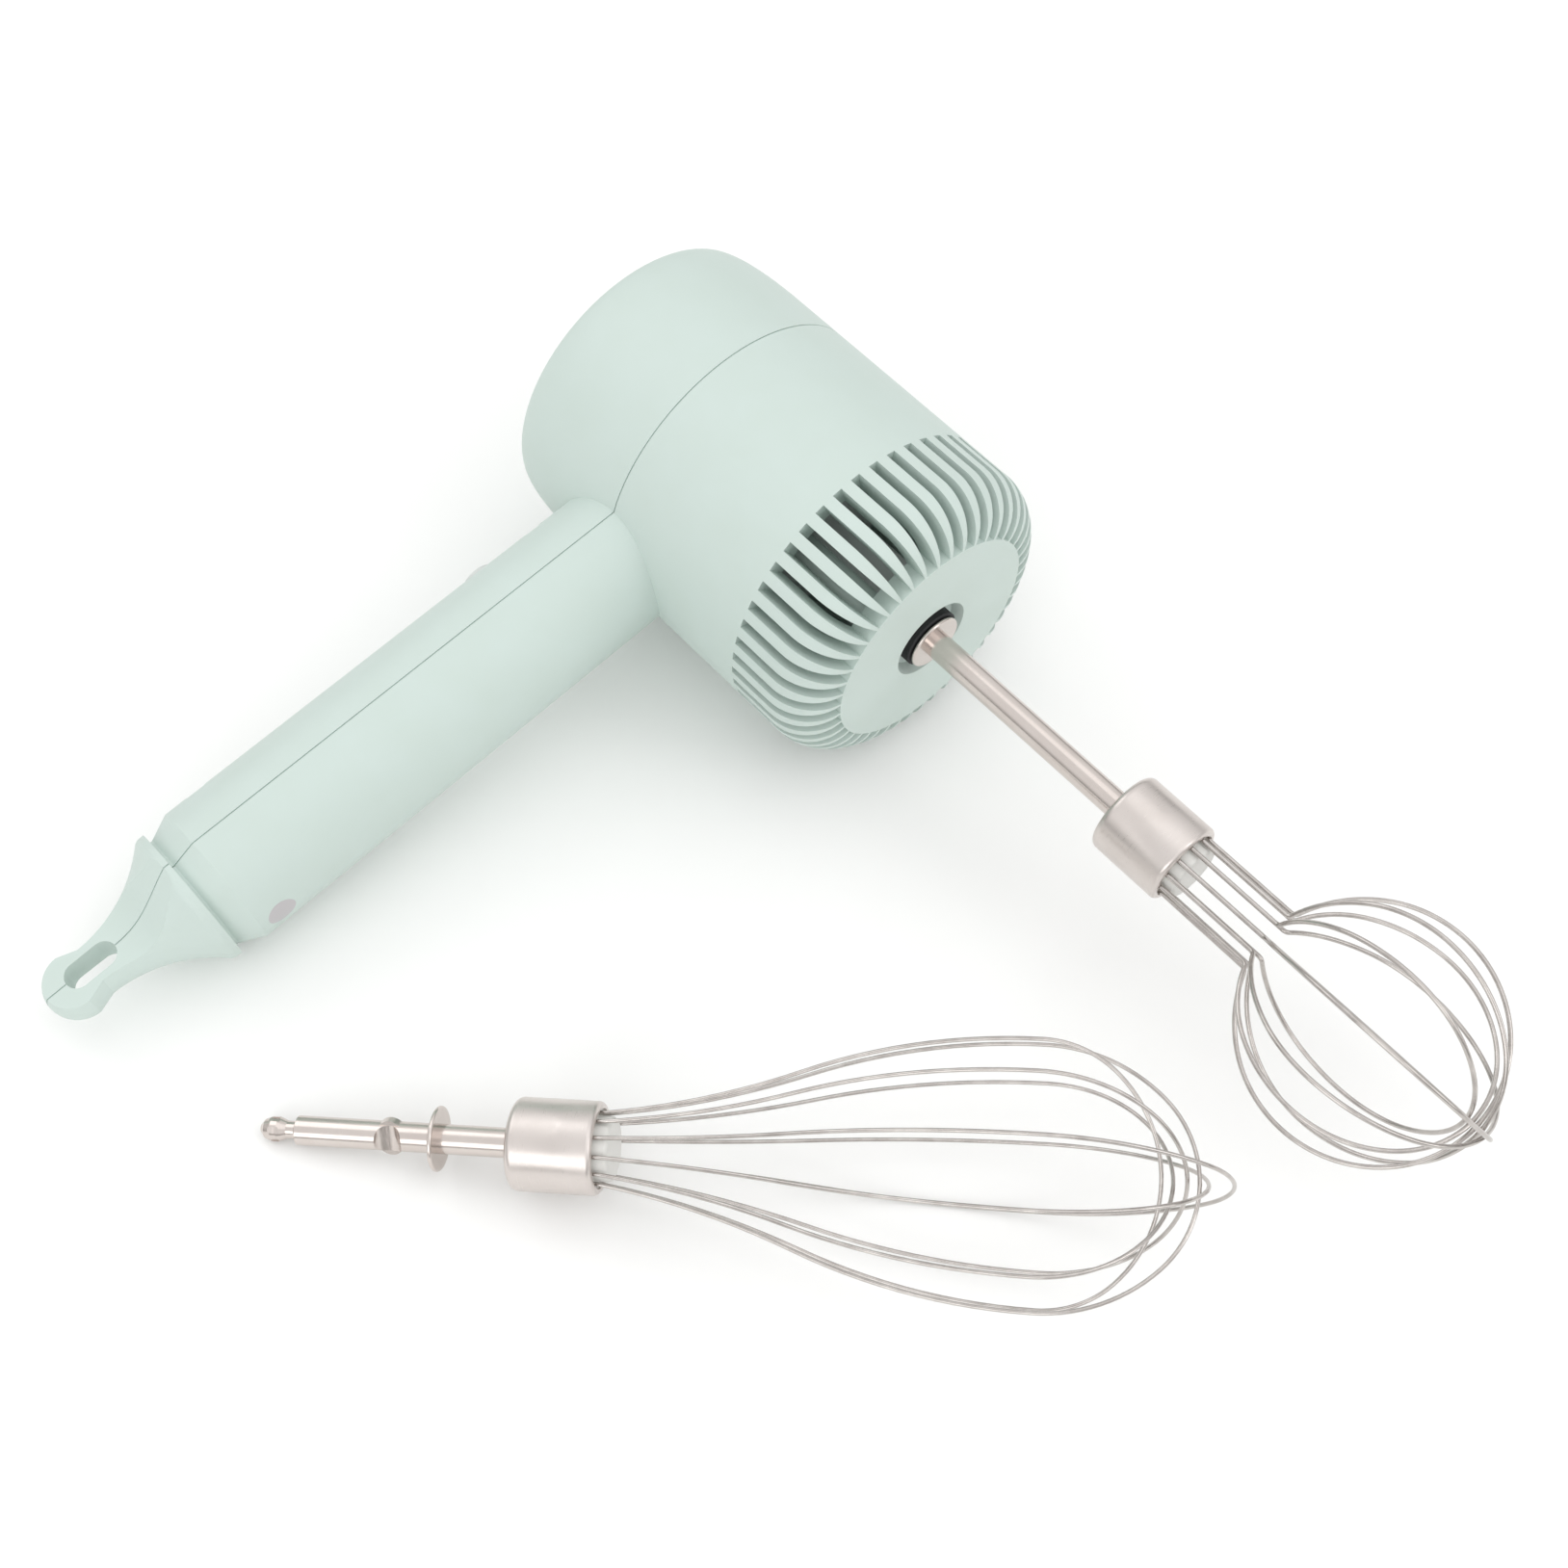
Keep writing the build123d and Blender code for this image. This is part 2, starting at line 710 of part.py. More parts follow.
with BuildPart() as screw_plugs:
    with BuildSketch(across_head(-2 * handle_bottom_radius)):
        with Locations(*screw_spots):
            Circle(screw_head_radius + 0.2)
    extrude(amount=2 * handle_bottom_radius - shell_screw_depth - screw_head_height - 2.0)
    add(casing_form(0.1), mode=Mode.INTERSECT)
save(screw_plugs.part, "screw_plugs")

# ---------------------------------------------------------------- cell and leads
with BuildPart() as battery_cell:
    with BuildSketch(across_handle(cell_start)):
        with Locations((cell_offset, 0)):
            Circle(cell_radius)
    extrude(amount=cell_length)
    fillet(battery_cell.edges().filter_by(GeomType.CIRCLE), 0.6)
    with BuildSketch(across_handle(cell_start - 0.5)):
        with Locations((cell_offset, 0)):
            Circle(3.2)
    extrude(amount=0.5)
save(battery_cell.part, "battery_cell")

with BuildPart() as cell_tabs:
    with BuildSketch(across_handle(cell_start - 0.5 - tab_thickness)):
        with Locations((0.5, 0)):
            Rectangle(10.0, 4.0)
    extrude(amount=tab_thickness)
    with BuildSketch(across_handle(cell_start + cell_length)):
        with Locations((0.5, 0)):
            Rectangle(10.0, 4.0)
    extrude(amount=tab_thickness)
save(cell_tabs.part, "cell_tabs")


def lead(points, bends):
    """Insulated wire along straight runs joined by tangent arcs; points are (forward, reach, up)."""
    spots = [
        head_centre + handle_direction * reach - table_side * up + Vector(x, 0, 0)
        for x, reach, up in points
    ]
    with BuildPart() as wire:
        with BuildLine() as route:
            FilletPolyline(*spots, radius=bends)
        with BuildSketch(Plane(origin=route.wire() @ 0, z_dir=route.wire() % 0)):
            Circle(lead_radius)
        sweep()
    return wire.part


tab_top = cell_start - 0.5 - tab_thickness
tab_bottom = cell_start + cell_length + tab_thickness
board_middle = board_inner_face - board_thickness / 2
with BuildPart() as internal_leads:
    add(
        lead(
            [(-3.6, tab_top, 1.0), (-3.6, tab_top - 4.0, 1.0), (board_inner_face, tab_top - 4.0, 1.0)],
            [1.2],
        )
    )
    add(
        lead(
            [(-3.6, tab_bottom, 1.0), (-3.6, tab_bottom + 3.6, 1.0),
             (board_middle, tab_bottom + 3.6, 1.0), (board_middle, board_end, 1.0)],
            [1.2, 1.2],
        )
    )
    for side in (-1, 1):
        add(
            lead(
                [(board_middle, board_start, 4.0 * side),
                 (board_middle, 31.0, 4.0 * side),
                 (motor_rear - end_cap_thickness - 1.6, 25.0, terminal_circle * side),
                 (motor_rear - end_cap_thickness - 1.6, terminal_width / 2, terminal_circle * side)],
                [6.0, 6.0],
            )
        )
save(internal_leads.part, "internal_leads")

# ---------------------------------------------------------------- motor
with BuildPart() as motor_can:
    add(ring(motor_rear, motor_length, motor_radius, motor_radius - motor_wall))
    add(ring(motor_front - motor_wall, motor_wall, motor_radius, bush_radius))
    rims = motor_can.edges().filter_by(GeomType.CIRCLE).group_by(SortBy.RADIUS)[-1]
    fillet(rims.sort_by(Axis.X)[-1], 0.7)
save(motor_can.part, "motor_can")

with BuildPart() as motor_end_cap:
    add(ring(motor_rear - end_cap_thickness, end_cap_thickness, motor_radius, bush_radius))
    with BuildSketch(across_head(motor_rear - end_cap_thickness)):
        with Locations((0, terminal_circle), (0, -terminal_circle)):
            Rectangle(terminal_width, terminal_thickness)
    extrude(amount=end_cap_thickness, mode=Mode.SUBTRACT)
save(motor_end_cap.part, "motor_end_cap")

magnet_inner = motor_radius - motor_wall - magnet_thickness
with BuildPart() as motor_magnets:
    add(ring(motor_rear + 4.0, motor_length - 8.0, motor_radius - motor_wall, magnet_inner))
    with BuildSketch(across_head(motor_rear)):
        Rectangle(7.0, 2 * motor_radius)
    extrude(amount=motor_length, mode=Mode.SUBTRACT)
save(motor_magnets.part, "motor_magnets")

with BuildPart() as motor_bushes:
    add(ring(motor_rear - end_cap_thickness, end_cap_thickness, bush_radius, shaft_radius + bush_fit))
    add(ring(motor_front - motor_wall - 1.0, 3.0 + motor_wall, bush_radius, shaft_radius + bush_fit))
save(motor_bushes.part, "motor_bushes")

with BuildPart() as motor_brush_gear:
    # Terminals through the end cap, and the carbon blocks beside the commutator.
    with BuildSketch(across_head(motor_rear - end_cap_thickness - 3.0)):
        with Locations((0, terminal_circle), (0, -terminal_circle)):
            Rectangle(terminal_width, terminal_thickness)
    extrude(amount=end_cap_thickness + 4.0)
    with BuildSketch(across_head(motor_rear + 1.2)):
        for side in (-1, 1):
            with Locations((0, side * (commutator_radius + 0.3 + 2.0))):
                Rectangle(2.6, 4.0)
    extrude(amount=2.6)
    with BuildSketch(across_head(motor_rear)):
        for side in (-1, 1):
            with Locations((0, side * (commutator_radius + 0.3 + 2.0))):
                Rectangle(3.4, 3.0)
    extrude(amount=1.2)
save(motor_brush_gear.part, "motor_brush_gear")

with BuildPart() as motor_damper:
    add(ring(motor_rear + 1.0, damper_length, motor_radius + damper_thickness, motor_radius))
save(motor_damper.part, "motor_damper")

shaft_start = motor_rear - end_cap_thickness - 0.8
shaft_end = gears_start + planet_width
with BuildPart() as motor_shaft:
    add(ring(shaft_start, shaft_end - shaft_start, shaft_radius, 0))
    chamfer(motor_shaft.edges().filter_by(GeomType.CIRCLE), 0.25)
save(motor_shaft.part, "motor_shaft")

core_start = motor_rear + 8.0
core_radius = magnet_inner - air_gap
with BuildPart() as armature_core:
    add(ring(core_start, core_length, core_radius, shaft_radius))
    with BuildSketch(across_head(core_start)):
        with PolarLocations(0, pole_count):
            with Locations((core_radius - 3.6, 0)):
                Rectangle(5.0, 5.4)
            with Locations((core_radius, 0)):
                Rectangle(3.0, 1.6)
    extrude(amount=core_length, mode=Mode.SUBTRACT)
save(armature_core.part, "armature_core")

with BuildPart() as armature_windings:
    for start, length in ((core_start - 2.2, 2.2), (core_start + core_length, 2.2)):
        add(ring(start, length, core_radius - 1.6, shaft_radius + 1.0))
    with BuildSketch(across_head(core_start)):
        with PolarLocations(0, pole_count):
            with Locations((core_radius - 3.6, 0)):
                Rectangle(4.6, 5.0)
    extrude(amount=core_length)
save(armature_windings.part, "armature_windings")

with BuildPart() as commutator:
    add(ring(motor_rear + 0.9, 4.2, commutator_radius, shaft_radius))
    with BuildSketch(across_head(motor_rear + 0.9)):
        with PolarLocations(commutator_radius, pole_count):
            Rectangle(1.2, 0.4)
    extrude(amount=4.2, mode=Mode.SUBTRACT)
save(commutator.part, "commutator")


# ---------------------------------------------------------------- planetary gears
def involute(angle):
    return tan(angle) - angle


def gear_points(teeth, tip, root, thinning, turn):
    """Outline of an involute gear whose tooth number 0 points along local x when turn is 0."""
    pitch_radius = gear_module * teeth / 2
    slant = radians(pressure_angle)
    base_radius = pitch_radius * cos(slant)
    half_pitch = pi / (2 * teeth) - thinning / (2 * pitch_radius)
    flank_start = max(root, base_radius) + 0.01
    steps = [flank_start + (tip - flank_start) * i / 3 for i in range(4)]
    flank = [(root, half_pitch + involute(slant) - involute(pi / 2 - asin(base_radius / flank_start)))]
    flank += [(r, half_pitch + involute(slant) - involute(pi / 2 - asin(base_radius / r))) for r in steps]
    points = []
    for tooth in range(teeth):
        middle = radians(turn) + 2 * pi * tooth / teeth
        points += [(r * cos(middle - a), r * sin(middle - a)) for r, a in flank]
        points += [(r * cos(middle + a), r * sin(middle + a)) for r, a in reversed(flank)]
    return points


def toothed(plane, centre, teeth, width, bore, turn):
    """External gear with its bore."""
    pitch_radius = gear_module * teeth / 2
    outline = gear_points(
        teeth,
        pitch_radius + gear_module * addendum,
        pitch_radius - gear_module * dedendum,
        backlash,
        turn,
    )
    with BuildPart() as gear:
        with BuildSketch(plane):
            with Locations(centre):
                with BuildLine():
                    Polyline(*[(x + centre[0], y + centre[1]) for x, y in outline], close=True)
                make_face()
                Circle(bore, mode=Mode.SUBTRACT)
        extrude(amount=width)
    return gear.part


sun_pinion = toothed(across_head(gears_start), (0, 0), sun_teeth, planet_width, shaft_radius, 0)
save(sun_pinion, "sun_pinion")

planet_spots = []
for number in range(planet_count):
    turn = 360 * number / planet_count
    spot = (planet_circle * cos(radians(turn)), planet_circle * sin(radians(turn)))
    planet_spots.append(spot)
    planet = toothed(across_head(gears_start), spot, planet_teeth, planet_width, pin_radius + pin_fit, turn)
    save(planet, f"planet_gear_{number + 1}")

with BuildPart() as ring_gear:
    add(ring(gears_start - 0.4, planet_width + 0.8, ring_outer_radius, 0))
    with BuildSketch(across_head(gears_start - 0.4)):
        with BuildLine():
            Polyline(
                *gear_points(
                    ring_teeth,
                    ring_radius + gear_module * dedendum,
                    ring_radius - gear_module * addendum,
                    -backlash,
                    0,
                ),
                close=True,
            )
        make_face()
    extrude(amount=planet_width + 0.8, mode=Mode.SUBTRACT)
save(ring_gear.part, "ring_gear")

carrier_radius = ring_radius - gear_module * addendum - carrier_edge_gap
with BuildPart() as planet_carrier:
    add(ring(carrier_start, carrier_thickness, carrier_radius, hub_radius))
    with BuildSketch(across_head(carrier_start)):
        with Locations(*planet_spots):
            Circle(pin_radius)
    extrude(amount=carrier_thickness, mode=Mode.SUBTRACT)
    chamfer(planet_carrier.edges().filter_by(GeomType.CIRCLE).group_by(SortBy.RADIUS)[-1], 0.3)
save(planet_carrier.part, "planet_carrier")

with BuildPart() as planet_pins:
    with BuildSketch(across_head(gears_start - 0.3)):
        with Locations(*planet_spots):
            Circle(pin_radius)
    extrude(amount=carrier_end - gears_start + 0.3)
save(planet_pins.part, "planet_pins")

with BuildPart() as gearbox_case:
    add(ring(motor_front, cover_start - motor_front, gearbox_radius, ring_outer_radius))
    add(ring(motor_front, 1.6, gearbox_radius, 7.0))
save(gearbox_case.part, "gearbox_case")

bearing_starts = (cover_start, snout_end - bearing_length)
with BuildPart() as gearbox_cover:
    add(ring(cover_start, cover_thickness, cover_radius, bearing_radius))
    add(ring(cover_start, snout_end - cover_start, snout_radius, bearing_radius))
    with BuildSketch(across_head(cover_start)):
        with PolarLocations(gearbox_screw_circle, 3, start_angle=60):
            Circle(screw_radius + 0.2)
    extrude(amount=cover_thickness, mode=Mode.SUBTRACT)
save(gearbox_cover.part, "gearbox_cover")

with BuildPart() as gearbox_screws:
    with BuildSketch(across_head(cover_start - screw_head_height)):
        with PolarLocations(gearbox_screw_circle, 3, start_angle=60):
            Circle(screw_head_radius)
    extrude(amount=screw_head_height)
    with BuildSketch(across_head(cover_start)):
        with PolarLocations(gearbox_screw_circle, 3, start_angle=60):
            Circle(screw_radius)
    extrude(amount=12.0)
save(gearbox_screws.part, "gearbox_screws")

with BuildPart() as spindle_bushes:
    for start in bearing_starts:
        add(ring(start, bearing_length, bearing_radius, spindle_radius + spindle_bush_fit))
save(spindle_bushes.part, "spindle_bushes")

# ---------------------------------------------------------------- output spindle
grip_ring_start = nose_x + nose_length + 3.0
grip_ring_radius = shank_radius + 1.2
with BuildPart() as output_spindle:
    add(ring(carrier_end, spindle_front - carrier_end, spindle_radius, 0))
    add(ring(carrier_start, carrier_thickness, hub_radius, 0))
    with BuildSketch(across_head(nose_x - 0.8)):
        Circle(spindle_bore)
    extrude(amount=head_front, mode=Mode.SUBTRACT)
    add(ring(grip_ring_start, grip_ring_length, grip_ring_radius, 0), mode=Mode.SUBTRACT)
    # Slots that drive the shank's wings.
    with BuildSketch(across_head(nose_x + key_reach - key_length / 2 - key_gap)):
        Rectangle(2 * (key_radius + key_gap), key_thickness + 2 * key_gap)
    extrude(amount=head_front, mode=Mode.SUBTRACT)
save(output_spindle.part, "output_spindle")

grip_ring = ring(grip_ring_start, grip_ring_length, grip_ring_radius, shank_radius + 0.08)
save(grip_ring, "grip_ring")

spindle_clip = ring(snout_end + 0.3, 0.9, spindle_radius + 1.6, spindle_radius)
save(spindle_clip, "spindle_clip")


# ---------------------------------------------------------------- whisks
def whisk_profile(base, turn):
    """Plane through the whisk's axis: local x runs from the nose tip, local y is radial."""
    radial = base.x_dir * cos(radians(turn)) + base.y_dir * sin(radians(turn))
    return Plane(base.origin, x_dir=base.z_dir, z_dir=base.z_dir.cross(radial))


def whisk_axis(base):
    return Axis(base.origin, base.z_dir)


def whisk_shank(base, collar_reach, key_turn):
    """Shank with a ball nose and a pair of pressed drive wings."""
    with BuildPart() as shank:
        with BuildSketch(whisk_profile(base, 0)):
            with BuildLine():
                Polyline(
                    (0, 0),
                    (0, 0.9),
                    (0.9, nose_ball_radius - 0.5),
                    (2.3, nose_ball_radius),
                    (3.6, nose_ball_radius),
                    (5.3, nose_neck_radius),
                    (6.9, nose_neck_radius),
                    (7.2, nose_neck_radius + 0.5),
                    (nose_length, shank_radius),
                    (collar_reach + 6.0, shank_radius),
                    (collar_reach + 6.0, 0),
                    close=True,
                )
            make_face()
        revolve(axis=whisk_axis(base))
        # Wings: a flat lozenge across the shank, then two dimples pressed beside it.
        with BuildSketch(whisk_profile(base, key_turn)):
            with Locations((key_reach, 0)):
                Ellipse(key_length / 2, key_radius)
        extrude(amount=key_thickness / 2, both=True)
        for side in (-1, 1):
            with BuildSketch(whisk_profile(base, key_turn + 90)):
                with Locations((key_reach, side * (shank_radius + 0.9))):
                    Ellipse(key_length / 2 - 0.2, 0.9 + shank_radius - key_thickness / 2)
            extrude(amount=shank_radius, both=True, mode=Mode.SUBTRACT)
        # Flats round the ball nose.
        for turn in range(0, 360, 60):
            with BuildSketch(whisk_profile(base, turn)):
                with Locations((3.0, nose_ball_radius + 0.62)):
                    Ellipse(2.4, 0.9)
            extrude(amount=0.65, both=True, mode=Mode.SUBTRACT)
    return shank.part


def whisk_ring(base):
    """Stop ring pressed on the shank."""
    with BuildPart() as stop:
        with BuildSketch(base.offset(stop_ring_reach)):
            Circle(stop_ring_radius)
            Circle(shank_radius, mode=Mode.SUBTRACT)
        extrude(amount=stop_ring_thickness)
        rims = stop.edges().filter_by(GeomType.CIRCLE).group_by(SortBy.RADIUS)[-1]
        fillet(rims, stop_ring_thickness / 2 - 0.05)
    return stop.part


def whisk_collar(base, reach):
    """Drawn steel cup with a rolled front lip."""
    radius = collar_diameter / 2
    with BuildPart() as cup:
        with BuildSketch(whisk_profile(base, 0)):
            with BuildLine():
                back = Line((reach, shank_radius), (reach, radius - collar_edge))
                shoulder = JernArc(back @ 1, (0, 1), collar_edge, -90)
                body = Line(shoulder @ 1, (reach + collar_length - 1.0, radius))
                lip = JernArc(body @ 1, (1, 0), 1.0, -90)
                inner = Line(lip @ 1, (reach + collar_length, radius - 1.3))
                floor = Line(inner @ 1, (reach + collar_length - 1.0, radius - 1.3))
                bore = Line(floor @ 1, (reach + collar_wall, radius - 1.3))
                web = Line(bore @ 1, (reach + collar_wall, shank_radius))
                Line(web @ 1, back @ 0)
            make_face()
        revolve(axis=whisk_axis(base))
    return cup.part


def wire_spots(wire_radius):
    return [
        (wire_circle_radius * cos(pi * i / loop_count), wire_circle_radius * sin(pi * i / loop_count))
        for i in range(2 * loop_count)
    ]


def whisk_plug(base, reach, wire_diameter, turn):
    """Plastic filling of the collar, with a boss inside the circle of wires."""
    inner = collar_diameter / 2 - 1.3
    seat = Plane(base.origin, x_dir=whisk_profile(base, turn).y_dir, z_dir=base.z_dir)
    with BuildPart() as plug:
        with BuildSketch(seat.offset(reach + collar_wall)):
            Circle(inner)
            Circle(shank_radius, mode=Mode.SUBTRACT)
        extrude(amount=6.0 - collar_wall)
        with BuildSketch(seat.offset(reach + 6.0)):
            Circle(inner)
        extrude(amount=collar_length - 6.6)
        with BuildSketch(seat.offset(reach + collar_length - 0.6)):
            Circle(wire_circle_radius - wire_diameter / 2 - 0.25)
        extrude(amount=plug_proud + 0.6)
        front = plug.faces().filter_by(GeomType.PLANE).sort_by(whisk_axis(base))[-1]
        fillet(front.edges(), 0.8)
        with BuildSketch(seat.offset(reach + wire_seat)):
            with Locations(*wire_spots(wire_diameter)):
                Circle(wire_diameter / 2)
        extrude(amount=collar_length, mode=Mode.SUBTRACT)
    return plug.part


def wire_loop(base, turn, wire_diameter, start, side_curve):
    """One closed whisk wire; side_curve draws its upper half, from the plug to the tip."""
    profile = whisk_profile(base, turn)
    with BuildPart() as loop:
        with BuildLine(profile) as path:
            side_curve(start)
            mirror(about=Plane(base.origin, x_dir=base.z_dir, z_dir=profile.y_dir))
        foot = profile.from_local_coords((start, wire_circle_radius, 0))
        with BuildSketch(Plane(foot, x_dir=profile.y_dir, z_dir=base.z_dir)):
            Circle(wire_diameter / 2)
        sweep(path=path.wire())
    return loop.part


def tip_arcs(before, run, rise):
    """Two arcs from the widest point round to the tip on the axis."""
    first, second = arc_pair(run, -rise, 0, -45, -90)
    side = JernArc(before @ 1, before % 1, first, -45)
    JernArc(side @ 1, side % 1, second, -45)


def ball_curve(number):
    """One wire of the ball whisk: parallel stem, sharp kink, round bow."""
    nesting = ball_tip_order[number] * (ball_wire_diameter + ball_tip_gap)
    tip = ball_tip_reach - ball_wire_diameter / 2 - nesting
    widest = ball_radius - ball_wire_diameter / 2 - ball_slack[number]
    half_angle = ball_kink_angle / 2
    kink_run = ball_kink_bend * sin(radians(ball_kink_angle))
    kink_rise = ball_kink_bend * (1 - cos(radians(ball_kink_angle)))
    bow_run = ball_widest_reach - ball_kink_reach - kink_run
    bow_rise = widest - wire_circle_radius - kink_rise
    first, second = arc_pair(bow_run, bow_rise, ball_kink_angle, half_angle, 0)

    def draw(start):
        stem = Line((start, wire_circle_radius), (ball_kink_reach, wire_circle_radius))
        kink = JernArc(stem @ 1, stem % 1, ball_kink_bend, ball_kink_angle)
        lower = JernArc(kink @ 1, kink % 1, first, -half_angle)
        upper = JernArc(lower @ 1, lower % 1, second, -half_angle)
        tip_arcs(upper, tip - ball_widest_reach, widest)

    return draw


def balloon_flare():
    """Radii of the flare and of the swell of the balloon whisk's wires."""
    bend_run = balloon_bend * sin(radians(balloon_start_angle))
    bend_rise = balloon_bend * (1 - cos(radians(balloon_start_angle)))
    run = balloon_widest_reach - balloon_collar_reach - collar_length - bend_run
    rise = balloon_radius - balloon_wire_diameter / 2 - wire_circle_radius - bend_rise
    return arc_pair(run, rise, balloon_start_angle, balloon_slope, 0)


def balloon_curve(number):
    """One wire of the balloon whisk: gentle flare, then a long round end."""
    tip = balloon_tip_reach - balloon_wire_diameter / 2 - balloon_tip_drop[number]
    first, second = balloon_flare()
    mouth = balloon_collar_reach + collar_length

    def draw(start):
        stem = Line((start, wire_circle_radius), (mouth, wire_circle_radius))
        exit_bend = JernArc(stem @ 1, stem % 1, balloon_bend, balloon_start_angle)
        flare = JernArc(exit_bend @ 1, exit_bend % 1, first, balloon_slope - balloon_start_angle)
        swell = JernArc(flare @ 1, flare % 1, second, -balloon_slope)
        tip_arcs(swell, tip - balloon_widest_reach, balloon_radius - balloon_wire_diameter / 2)

    return draw


def save_whisk(name, base, collar_reach, key_turn, wire_diameter, turn, curve):
    """Write one whole whisk: shank, stop ring, collar, plug and its wire loops."""
    save(whisk_shank(base, collar_reach, key_turn), f"{name}_shank")
    save(whisk_ring(base), f"{name}_stop_ring")
    save(whisk_collar(base, collar_reach), f"{name}_collar")
    save(whisk_plug(base, collar_reach, wire_diameter, turn), f"{name}_plug")
    for number in range(loop_count):
        loop_turn = turn + 180 * number / loop_count
        loop = wire_loop(base, loop_turn, wire_diameter, collar_reach + wire_seat, curve(number))
        save(loop, f"{name}_loop_{number + 1}")


ball_base = Plane((nose_x, 0, head_radius), x_dir=handle_direction, z_dir=(1, 0, 0))
save_whisk(
    "ball_whisk",
    ball_base,
    ball_collar_reach,
    ball_key_turn,
    ball_wire_diameter,
    ball_turn,
    ball_curve,
)

# The loose whisk rests on its nose and on the swell of its wires: the table touches both circles.
balloon_widest = balloon_radius - balloon_wire_diameter / 2
nose_ball_reach = 3.0
swell_radius = balloon_flare()[1]
swell_run = balloon_widest_reach - nose_ball_reach
swell_drop = swell_radius - balloon_widest
swell_rise = swell_radius + balloon_wire_diameter / 2 - nose_ball_radius
rest_lean = asin(swell_rise / hypot(swell_run, swell_drop)) - atan2(swell_drop, swell_run)
rest_height = nose_ball_radius - nose_ball_reach * sin(rest_lean) + table_gap
balloon_direction = Vector(
    cos(rest_lean) * cos(radians(balloon_heading)),
    cos(rest_lean) * sin(radians(balloon_heading)),
    sin(rest_lean),
)
balloon_base = Plane(
    (balloon_nose_x, balloon_nose_y, rest_height),
    x_dir=balloon_direction.cross(Vector(0, 0, 1)).normalized(),
    z_dir=balloon_direction,
)
save_whisk(
    "balloon_whisk",
    balloon_base,
    balloon_collar_reach,
    balloon_key_turn,
    balloon_wire_diameter,
    balloon_turn,
    balloon_curve,
)
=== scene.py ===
from math import radians

import bpy
from mathutils import Euler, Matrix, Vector


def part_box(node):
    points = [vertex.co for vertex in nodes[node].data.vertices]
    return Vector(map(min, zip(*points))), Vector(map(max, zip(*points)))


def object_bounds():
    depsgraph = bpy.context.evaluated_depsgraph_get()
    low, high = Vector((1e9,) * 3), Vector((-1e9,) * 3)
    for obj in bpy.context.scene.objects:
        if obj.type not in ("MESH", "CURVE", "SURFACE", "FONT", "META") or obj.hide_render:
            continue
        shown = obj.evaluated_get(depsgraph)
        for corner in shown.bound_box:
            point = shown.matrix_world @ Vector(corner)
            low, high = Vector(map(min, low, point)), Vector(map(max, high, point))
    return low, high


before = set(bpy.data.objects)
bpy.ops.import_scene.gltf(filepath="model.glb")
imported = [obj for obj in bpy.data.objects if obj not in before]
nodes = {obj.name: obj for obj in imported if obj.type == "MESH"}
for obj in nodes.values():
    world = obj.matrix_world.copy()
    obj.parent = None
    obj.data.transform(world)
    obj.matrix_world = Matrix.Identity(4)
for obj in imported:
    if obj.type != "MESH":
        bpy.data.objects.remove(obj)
cad_box = [list(corner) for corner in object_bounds()]

# Cordless hand mixer with its ball whisk fitted and its balloon whisk beside it. Metres.
MM = 0.001


# ---------------------------------------------------------------- colours and nodes
def linear(hex_colour):
    """sRGB hex to linear RGBA."""
    channels = [int(hex_colour[i : i + 2], 16) / 255 for i in (1, 3, 5)]
    light = [c / 12.92 if c <= 0.04045 else ((c + 0.055) / 1.055) ** 2.4 for c in channels]
    return (*light, 1.0)


def per(millimetres):
    """Texture scale whose features are about this size."""
    return 1 / (millimetres * MM)


def add(material, kind, settings, inputs):
    """A node with its settings, each input either linked from a socket or set to a value."""
    node = material.node_tree.nodes.new(kind)
    for name, value in settings.items():
        setattr(node, name, value)
    for name, value in inputs.items():
        if isinstance(value, bpy.types.NodeSocket):
            material.node_tree.links.new(value, node.inputs[name])
        else:
            node.inputs[name].default_value = value
    return node


def start(name, **values):
    """A new material and its shader, with the constants set on the shader's own sockets."""
    material = bpy.data.materials.new(name)
    material.use_nodes = True
    shader = material.node_tree.nodes["Principled BSDF"]
    for socket, value in values.items():
        shader.inputs[socket.replace("_", " ")].default_value = value
    return material, shader


def aim(first, second):
    """Rotation that points +X from the middle of one node to the middle of another."""
    here, there = (sum(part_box(node), Vector()) / 2 for node in (first, second))
    return (there - here).to_track_quat("X", "Z").to_euler()


